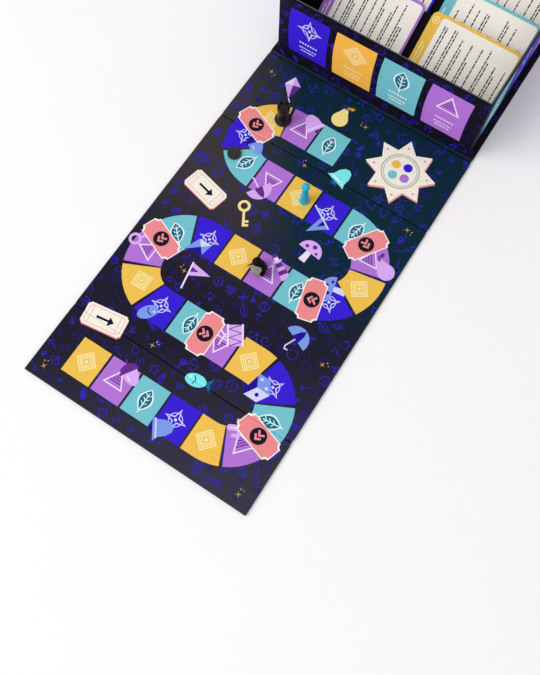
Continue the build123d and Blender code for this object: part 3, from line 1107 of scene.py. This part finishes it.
for panel, body in zip(("base", *bodies[1:]), bodies):
    cover_panel(panel, body)
for fold, span in zip(folds, fold_spans):
    cloth_strip(fold, span)
base_outline = round_rectangle(*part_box("base_print"), print_inset, corner_round)
figured_sheet(
    "base_printed", "base_print", base_outline, doodle_pitch, seeds["base"], tray_paper
)

# Tray: a printed sleeve, a lined inside and a rounded rim
tray_low, tray_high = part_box("tray_wrap")
rim_low, rim_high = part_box("tray_rim_tape")
lining_low, lining_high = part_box("tray_lining")
paper_thickness = print_high_z - print_low_z
wall_stack = lining_low.x - tray_low.x + paper_thickness
rim_foot_z = rim_high.z - rim_reach


class Sleeve:
    """A path round a rectangle with round corners, measured from the middle of the front wall."""

    def __init__(self, low, high, corner):
        long_x = high.x - low.x - 2 * corner
        long_y = high.y - low.y - 2 * corner
        bend = (math.pi / 2 * corner, 1 / corner)
        self.stretches = [(long_x / 2, 0), bend, (long_y, 0), bend, (long_x, 0), bend, (long_y, 0), bend]
        self.stretches.append((long_x / 2, 0))
        self.start = Vector(((low.x + high.x) / 2, high.y))
        self.half = sum(run for run, bend in self.stretches) / 2
        self.bends = []
        passed = -self.half
        for run, bend in self.stretches:
            if bend:
                self.bends.append((passed, passed + run))
            passed += run

    def place(self, along, depth, z):
        """A point some way along, at a depth inside the path."""
        distance = min(max(along + self.half, 0.0), 2 * self.half)
        return (*walk(self.stretches, self.start, math.pi, distance, depth)[0], z)

    def sheet(self, name, span, heights, depths, shapes, material, inside=False):
        """A sheet along a span of the path, between two heights and two depths, with a drawing on it."""
        spots = [along for bend in self.bends for along in spaced(*bend, round_steps)]
        cuts = [[(along, z) for z in heights] for along in spots if span[0] < along < span[1]]
        corners, triangles = partition(rectangle(*zip(span, heights)), cuts, shapes)
        front, back = reversed(depths) if inside else depths
        side = -1 if inside else 1
        return thin_sheet(
            name, corners, triangles,
            lambda p: self.place(side * p.x, front, p.y),
            lambda p: self.place(side * p.x, back, p.y), material,
        )


outer_path = Sleeve(tray_low, tray_high, tray_corner)
half_path = outer_path.half


def write(drawing, ink, start, end, chance):
    """A row of plain bars, as long as words, from one point to another."""
    start, end = Vector(start), Vector(end)
    length = (end - start).length
    done = 0.0
    while done < length:
        stop = min(done + chance.uniform(*word_lengths), length)
        drawing.line(ink, (start.lerp(end, done / length), start.lerp(end, stop / length)), text_height)
        done = stop + word_gap


def draw_field(drawing, middle, family, chance):
    """A coloured field whose sides bulge to the left, with an emblem, a row of lozenges and rows of bars."""
    low, high = (tray_low.z + (tray_high.z - tray_low.z) * share for share in field_height_shares)
    height = high - low
    rises = spaced(0.0, 1.0, round_steps)
    sides = [(field_bulge * math.sin(math.pi * rise), height * rise) for rise in rises]
    edge = [(field_half_width - bulge / 2, z) for bulge, z in sides]
    edge += [(-field_half_width - bulge, z) for bulge, z in reversed(sides)]
    drawing.at((middle, low)).fill("amber" if family == "yellow" else family, edge)
    drawing.at((middle, low + field_emblem_share * height), 0.0, field_emblem_size)
    drawing.figure(emblem_shares[family], family)
    drawing.at((middle, low))
    line_ink = family + "_line"
    for lozenge in range(lozenge_count):
        spot = ((lozenge - (lozenge_count - 1) / 2) * lozenge_pitch, lozenge_share * height)
        drawing.fill(line_ink, circle(lozenge_radius, 4, spot))
    for share, half in zip(bar_shares, bar_half_lengths):
        write(drawing, line_ink, (-half, share * height), (half, share * height), chance)


def draw_tray():
    """Line figures and, on each wall, four fields."""
    drawing = Drawing()
    chance = random.Random(seeds["bars"])
    scatter(drawing, (-half_path, tray_low.z), (half_path, tray_high.z), doodle_pitch, seeds["tray"])
    side_middle = (tray_high.x - tray_low.x + tray_high.y - tray_low.y) / 2
    for middle, pitch, row in (
        (0.0, front_field_pitch, tuple(families)), (side_middle, side_field_pitch, side_fields),
        (-side_middle, side_field_pitch, side_fields[::-1]), (half_path, front_field_pitch, tuple(families)),
    ):
        for index, family in enumerate(row):
            spot = middle + pitch * (index - (len(row) - 1) / 2)
            draw_field(drawing, spot if spot < half_path else spot - 2 * half_path, family, chance)
    return drawing.shapes


def wrap_tray():
    """The printed sleeve, the corner tapes under it and the four boards."""
    whole = (-half_path, half_path)
    heights = (tray_low.z, rim_foot_z)
    tape_depths = (paper_thickness, paper_thickness + tape_thickness)
    sleeve = outer_path.sheet("tray_sleeve", whole, heights, (0.0, paper_thickness), draw_tray(), tray_paper)
    stands_for(sleeve, "case", "tray_wrap")
    middles = [(first + last) / 2 for first, last in outer_path.bends]
    tapes = []
    for middle in middles:
        span = (middle - tape_leg, middle + tape_leg)
        tapes.append(outer_path.sheet("tape", span, heights, tape_depths, [], corner_paper))
    stands_for(joined("tray_tapes", tapes), "case", "tray_corner_tapes")
    wall_heights = (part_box("tray_front_wall")[0].z, rim_low.z - tape_thickness)
    wall_depths = (tape_depths[1], wall_stack - paper_thickness)
    for side, spans in {
        "left": [middles[:2]], "front": [middles[1:3]], "right": [middles[2:]],
        "back": [(-half_path, middles[0]), (middles[3], half_path)],
    }.items():
        node = f"tray_{side}_wall"
        boards = []
        for span in spans:
            boards.append(outer_path.sheet("board", span, wall_heights, wall_depths, [], grey_board))
        stands_for(joined(node + "_board", boards), "case", node)


def line_tray():
    """Dark paper with line figures on the inner walls and the floor."""
    drawing = Drawing()
    reach = (lining_high.x - lining_low.x) + (lining_high.y - lining_low.y)
    scatter(drawing, (-reach, lining_low.z), (reach, lining_high.z), lining_doodle_pitch, seeds["lining"])
    inner_path = Sleeve(lining_low, lining_high, tray_corner / 4)
    walls = inner_path.sheet(
        "tray_inner_paper", (-inner_path.half, inner_path.half), (lining_low.z, rim_foot_z),
        (0.0, paper_thickness), drawing.shapes, lining_paper, inside=True,
    )
    stands_for(walls, "case", "tray_lining")
    node = "tray_floor_lining"
    outline = rectangle(*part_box(node))
    seed = seeds["tray_floor"]
    figured_sheet("tray_floor_paper", node, outline, lining_doodle_pitch, seed, lining_paper)


def rim():
    """The wrap turned over the top of the walls, with round edges and a painted highlight along the inside.
    """
    outer = quarter_profile(rim_round, rim_high.z - rim_round, rim_round, 0)
    inner = quarter_profile(rim_round, rim_high.z - rim_round, rim_round - paper_thickness, 0)
    profile = [(0.0, rim_foot_z)] + outer + [(wall_stack - rim_round - rim_highlight_reach, rim_high.z)]
    inks = ["rim"] * (len(profile) - 1)
    profile += [(wall_stack - inset, z) for inset, z in reversed(outer)]
    # The inner rounding and the strip of top beside it take a pale ink: a painted highlight
    inks += ["rubbed"] * len(outer)
    profile += [(wall_stack, rim_foot_z), (wall_stack - paper_thickness, rim_foot_z)]
    profile += [(wall_stack - inset, z) for inset, z in inner] + inner[::-1]
    profile.append((paper_thickness, rim_foot_z))
    inks += ["rim"] * (len(profile) - len(inks))
    tape = lofted("tray_rim", rim_low, rim_high, tray_corner, profile, tray_paper, closed=True, inks=inks)
    stands_for(tape, "case", "tray_rim_tape")


wrap_tray()
line_tray()
rim()


# Cards
class CardPlace:
    """Where a leaning card lies: its foot, its size and how it leans."""

    def __init__(self, node):
        low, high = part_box(node)
        points = [vertex.co for vertex in frame["nodes"][node].data.vertices]
        foot_points = [point.y for point in points if point.z < low.z + merge_distance]
        self.run = max(foot_points) - min(foot_points)
        self.foot = Vector(((low.x + high.x) / 2, low.y, low.z))
        self.half = (high.x - low.x) / 2
        rise = Vector((0, high.y - low.y - self.run, high.z - low.z))
        self.length = rise.length
        self.up = rise.normalized()

    def at(self, point, depth):
        """A point of the card, at some share of its thickness behind the face."""
        return self.foot + Vector((point[0], depth * self.run, 0)) + self.up * point[1]

    def outline(self, inset=0.0, cut=0.0):
        """The card's edge, drawn in all round and cut down at the top."""
        return round_rectangle((-self.half, 0.0), (self.half, self.length - cut), inset, card_corner)


def draw_card(place, family, seed):
    """A coloured card with a pale field, a header with a mark, and bars in place of lines of text."""
    chance = random.Random(seed)
    drawing = Drawing()
    line_ink = family + "_line"
    drawing.fill(family, place.outline())
    field_low = (header_width - place.half, border_width)
    field_high = (place.half - border_width, place.length - border_width)
    drawing.fill("card", round_rectangle(field_low, field_high, 0.0, panel_corner))
    mark = (header_width / 2 - place.half, place.length - header_width * header_mark_share)
    drawing.at(mark, 0.0, header_width).figure(card_mark_shares, family)
    drawing.at((0, 0))
    for share in header_line_shares:
        stop = place.length * chance.uniform(*header_end_shares)
        x = header_width * share - place.half
        write(drawing, line_ink, (x, text_margin), (x, stop), chance)
    x = field_low[0] + text_margin
    last_x = field_high[0] - text_margin / 2
    while x < last_x:
        for _ in range(chance.choice(group_lines)):
            if x > last_x:
                break
            stop = field_high[1] - text_margin * chance.choice(text_end_shares)
            write(drawing, "text", (x, field_low[1] + text_margin / 2), (x, stop), chance)
            x += text_pitch
        x += group_pitch
    return drawing.shapes


def card_front(deck, family, seed):
    """The printed card in front of a deck."""
    node = deck + "_front_card"
    place = CardPlace(node)
    corners, triangles = partition(place.outline(), [], draw_card(place, family, seed))
    faces = (lambda p: place.at(p, 0.0), lambda p: place.at(p, 1.0))
    card = thin_sheet(deck + "_drawn_card", corners, triangles, *faces, card_paper)
    stands_for(card, deck + "_top_card", node)


def card_stack(deck, family, seed):
    """Separate cards, their tops square to the lean and a little uneven."""
    chance = random.Random(seed)
    node = deck + "_deck"
    place = CardPlace(node)
    points, faces, inks = [], [], []
    for sheet in range(deck_sheets):
        shift = Vector((chance.uniform(-deck_jitter, deck_jitter), 0.0))
        inset = deck_jitter * chance.uniform(*deck_inset_shares)
        cut = place.run * place.up.y * (sheet + 1) / deck_sheets
        edge = [point + shift for point in place.outline(inset, cut)]
        depths = [(sheet + share) / deck_sheets for share in (sheet_gap_share, 1 - sheet_gap_share)]
        prism(points, faces, *[[place.at(point, depth) for point in edge] for depth in depths])
        inks += [family, family] + ["card"] * len(edge)
    stack = new_piece(deck + "_stack", points, faces, card_paper, inks)
    stands_for(stack, deck + "_cards", node)


card_rows = (("left_purple", "right_yellow"), ("left_blue", "right_teal"), ("left_teal", "right_blue"))
for row, decks in enumerate(card_rows):
    for column, deck in enumerate(decks):
        family = deck.split("_")[1]
        card_front(deck, family, seeds["cards"] + 10 * row + column)
        card_stack(deck, family, seeds["decks"] + 10 * row + column)


# Playing pieces
def radius_and_height(node):
    low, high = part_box(node)
    return (high.x - low.x) / 2, high.z - low.z


def scaled(shares, radius, height):
    """A profile in metres, from its shares of a radius and a height."""
    return [(share * radius, rise * height) for share, rise in shares]


def stand(piece, kind):
    """Moves a piece made about the Z axis to the foot of its node."""
    low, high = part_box(kind)
    piece.data.transform(Matrix.Translation(((low.x + high.x) / 2, (low.y + high.y) / 2, low.z)))
    stands_for(piece, kind + "_piece", kind)


def rook_piece():
    """A turned foot and stem with a crown of separate teeth round a hollow."""
    radius, height = radius_and_height("rook")
    profile = rook_foot_shares + rook_waist_shares + rook_neck_shares + [
        (rook_crown_share, rook_crown_foot_share), (rook_crown_share, rook_tooth_foot_share),
        (rook_hollow_share, rook_tooth_foot_share), (rook_hollow_share, rook_hollow_floor_share),
        (0, rook_hollow_floor_share),
    ]
    stem = lathe("rook_stem", scaled(profile, radius, height), rook_plastic)
    points, faces = [], []
    half_arc = 180 / rook_teeth * rook_tooth_arc_share
    for tooth in range(rook_teeth):
        middle = 360 * (tooth + 0.5) / rook_teeth
        first, last = middle - half_arc, middle + half_arc
        edge = circle(rook_crown_share * radius, round_steps + 1, start=first, end=last)
        edge += circle(rook_hollow_share * radius, round_steps + 1, start=last, end=first)
        levels = (height, rook_hollow_floor_share * height)
        prism(points, faces, *[[(*point, z) for point in edge] for z in levels])
    rook = joined("rook_turned", (stem, new_piece("rook_crown", points, faces, rook_plastic)))
    reshape(rook, "BEVEL", width=rook_edge, segments=3, limit_method="ANGLE", angle_limit=math.radians(40.0))
    stand(smooth(rook), "rook")


def pawn_piece():
    """A cone with a hollow flank and a ball on top."""
    radius, height = radius_and_height("pawn")
    ball, neck = pawn_ball_share * radius, pawn_neck_share * radius
    ball_z = height - ball
    neck_z = ball_z - math.sqrt(ball ** 2 - neck ** 2)
    profile = scaled(pawn_foot_shares, radius, height)
    flank, flank_z = scaled([pawn_flank_foot_shares], radius, height)[0]
    for share in spaced(0.0, 1.0, 2 * round_steps):
        side = neck + (flank - neck) * (1 - share) ** pawn_flank_power
        profile.append((side, flank_z + (neck_z - flank_z) * share))
    for angle in spaced(-math.acos(neck / ball), math.pi / 2, 3 * round_steps)[1:-1]:
        profile.append((ball * math.cos(angle), ball_z + ball * math.sin(angle)))
    profile.append((0, height))
    stand(smooth(lathe("pawn_turned", profile, pawn_plastic), degrees=50.0), "pawn")


def puck_piece():
    """A flat disc with a raised edge and rings."""
    profile = list(puck_side_shares)
    for ring_share in puck_ring_shares:
        profile += [(ring_share + share, rise) for share, rise in puck_groove_shares]
    profile = scaled(profile + [(0, 1)], *radius_and_height("puck"))
    stand(smooth(lathe("puck_turned", profile, puck_rubber), degrees=20.0), "puck")


def bird_ink(point):
    """How much of belly and of beak a point of the bird shows."""
    forward, side, height = point
    beak_share = clamped((forward - beak_start) / beak_fade) if height > beak_foot else 0.0
    around = math.degrees(math.atan2(abs(side), forward - belly_axis))
    sway = belly_angle_sway * math.cos(2 * math.pi * (height - belly_sway_foot) / belly_sway_pitch)
    limit = (belly_angle + sway) * math.sqrt(clamped((throat_top - height) / throat_fade))
    return clamped((limit - around) / belly_angle_fade), beak_share


def bird_body():
    """Lumps and a beak, merged into one soft skin about the bird's foot."""
    body = bmesh.new()
    for place, half_sizes, tilt, roll in penguin_lumps:
        turn = Matrix.Rotation(math.radians(roll), 4, "X") @ Matrix.Rotation(math.radians(tilt), 4, "Y")
        spread = Matrix.Translation(place) @ turn @ Matrix.Diagonal((*half_sizes, 1.0))
        bmesh.ops.create_uvsphere(body, u_segments=32, v_segments=20, radius=1.0, matrix=spread)
    turn = Matrix.Rotation(math.radians(90.0 + beak_drop), 4, "Y")
    spread = Matrix.Translation(penguin_head) @ turn @ Matrix.Translation((0, 0, beak_middle))
    wide, narrow = beak_radii
    bmesh.ops.create_cone(
        body, cap_ends=True, segments=24, radius1=wide, radius2=narrow, depth=beak_length, matrix=spread
    )
    bird = moulded("penguin_moulding", body, penguin_plastic)
    reshape(bird, "REMESH", mode="VOXEL", voxel_size=penguin_voxel)
    reshape(bird, "SMOOTH", factor=0.5, iterations=penguin_soften_rounds)
    return bird


def penguin_piece():
    """A standing bird in one moulding, dark with a pale belly."""
    up = Vector((0.0, 0.0, 1.0))
    forward = Vector((-math.cos(penguin_turn), -math.sin(penguin_turn), 0.0))
    left = up.cross(forward)
    spots = [vertex.co for vertex in frame["nodes"]["penguin"].data.vertices]
    across = [spot.dot(left) for spot in spots]
    tail = min(spot.dot(forward) for spot in spots)
    foot = forward * (tail + penguin_tail_reach) + left * ((min(across) + max(across)) / 2)
    foot.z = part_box("penguin")[0].z
    bird = bird_body()
    layer = bird.data.color_attributes.new("ink", "FLOAT_COLOR", "POINT")
    black, belly, beak = (Vector(light(palette[ink])) for ink in ("black", "belly", "beak"))
    for vertex, tint in zip(bird.data.vertices, layer.data):
        vertex.co.z = max(vertex.co.z, 0.0)
        belly_share, beak_share = bird_ink(vertex.co)
        tint.color = black.lerp(belly, belly_share).lerp(beak, beak_share)
    bird.data.transform(Matrix.Translation(foot) @ Matrix((forward, left, up)).transposed().to_4x4())
    stands_for(smooth(bird, degrees=60.0), "penguin_piece", "penguin")


rook_piece()
pawn_piece()
puck_piece()
penguin_piece()

# Carried-over nodes that lie under the skins
for node, material in {
    "tray_floor": grey_board,
    "front_card_slope": dark_board, "middle_card_slope": dark_board, "rear_card_slope": dark_board,
    "tray_steel_discs": steel, "end_flap_magnets": nickel, "rook_felt": felt,
}.items():
    data = frame["nodes"][node].data
    data.materials.clear()
    data.materials.append(material)


# Stage: a pale floor that keeps the shadows, soft light and the camera
def floor():
    """A pale floor, brighter to the camera than the light alone makes it, and more so far away."""
    made = Finish("floor", Roughness=0.9, Specular_IOR_Level=0.1, Emission_Color=light((255, 255, 255)))
    made.colour(light((251, 248, 250)), share=0.004, scale=8.0)
    away = made.worked("VectorMath", "LENGTH", made.place)
    lift = made.ranged(away, *floor_lifts, *floor_lift_distances)
    made.set(Emission_Strength=made.ranged(made.seen_rays(), 0.0, lift, 0.0, 1.0))
    corners = rectangle((-floor_reach, -floor_reach), (floor_reach, floor_reach))
    new_piece("floor", [(*corner, -floor_drop) for corner in corners], [(0, 1, 2, 3)], made.owner)


def lamp(name, place, size, power):
    data = bpy.data.lights.new(name, "AREA")
    data.shape = "DISK"
    data.size = size
    data.energy = power
    made = linked(name, data)
    made.location = place
    made.rotation_euler = (lamp_aim - place).to_track_quat("-Z", "Y").to_euler()


def world():
    nodes = Nodes(bpy.data.worlds.new("studio"), "Background")
    strength = nodes.ranged(nodes.seen_rays(), world_strength, 1.0, 0.0, 1.0)
    nodes.set(Color=light((255, 255, 255)), Strength=strength)
    bpy.context.scene.world = nodes.owner


def camera():
    data = bpy.data.cameras.new("camera")
    data.lens = camera_lens
    turn = Matrix.Rotation(camera_yaw, 4, "Z") @ Matrix.Rotation(math.pi / 2 - camera_elevation, 4, "X")
    turn = turn @ Matrix.Rotation(camera_roll, 4, "Z")
    back = Matrix.Translation((0, 0, camera_distance))
    made = linked("camera", data)
    made.matrix_world = Matrix.Translation(camera_target) @ turn @ back
    bpy.context.scene.camera = made


floor()
for name, values in lamps.items():
    lamp(name, *values)
world()
camera()
bpy.context.scene.view_settings.view_transform = "Standard"
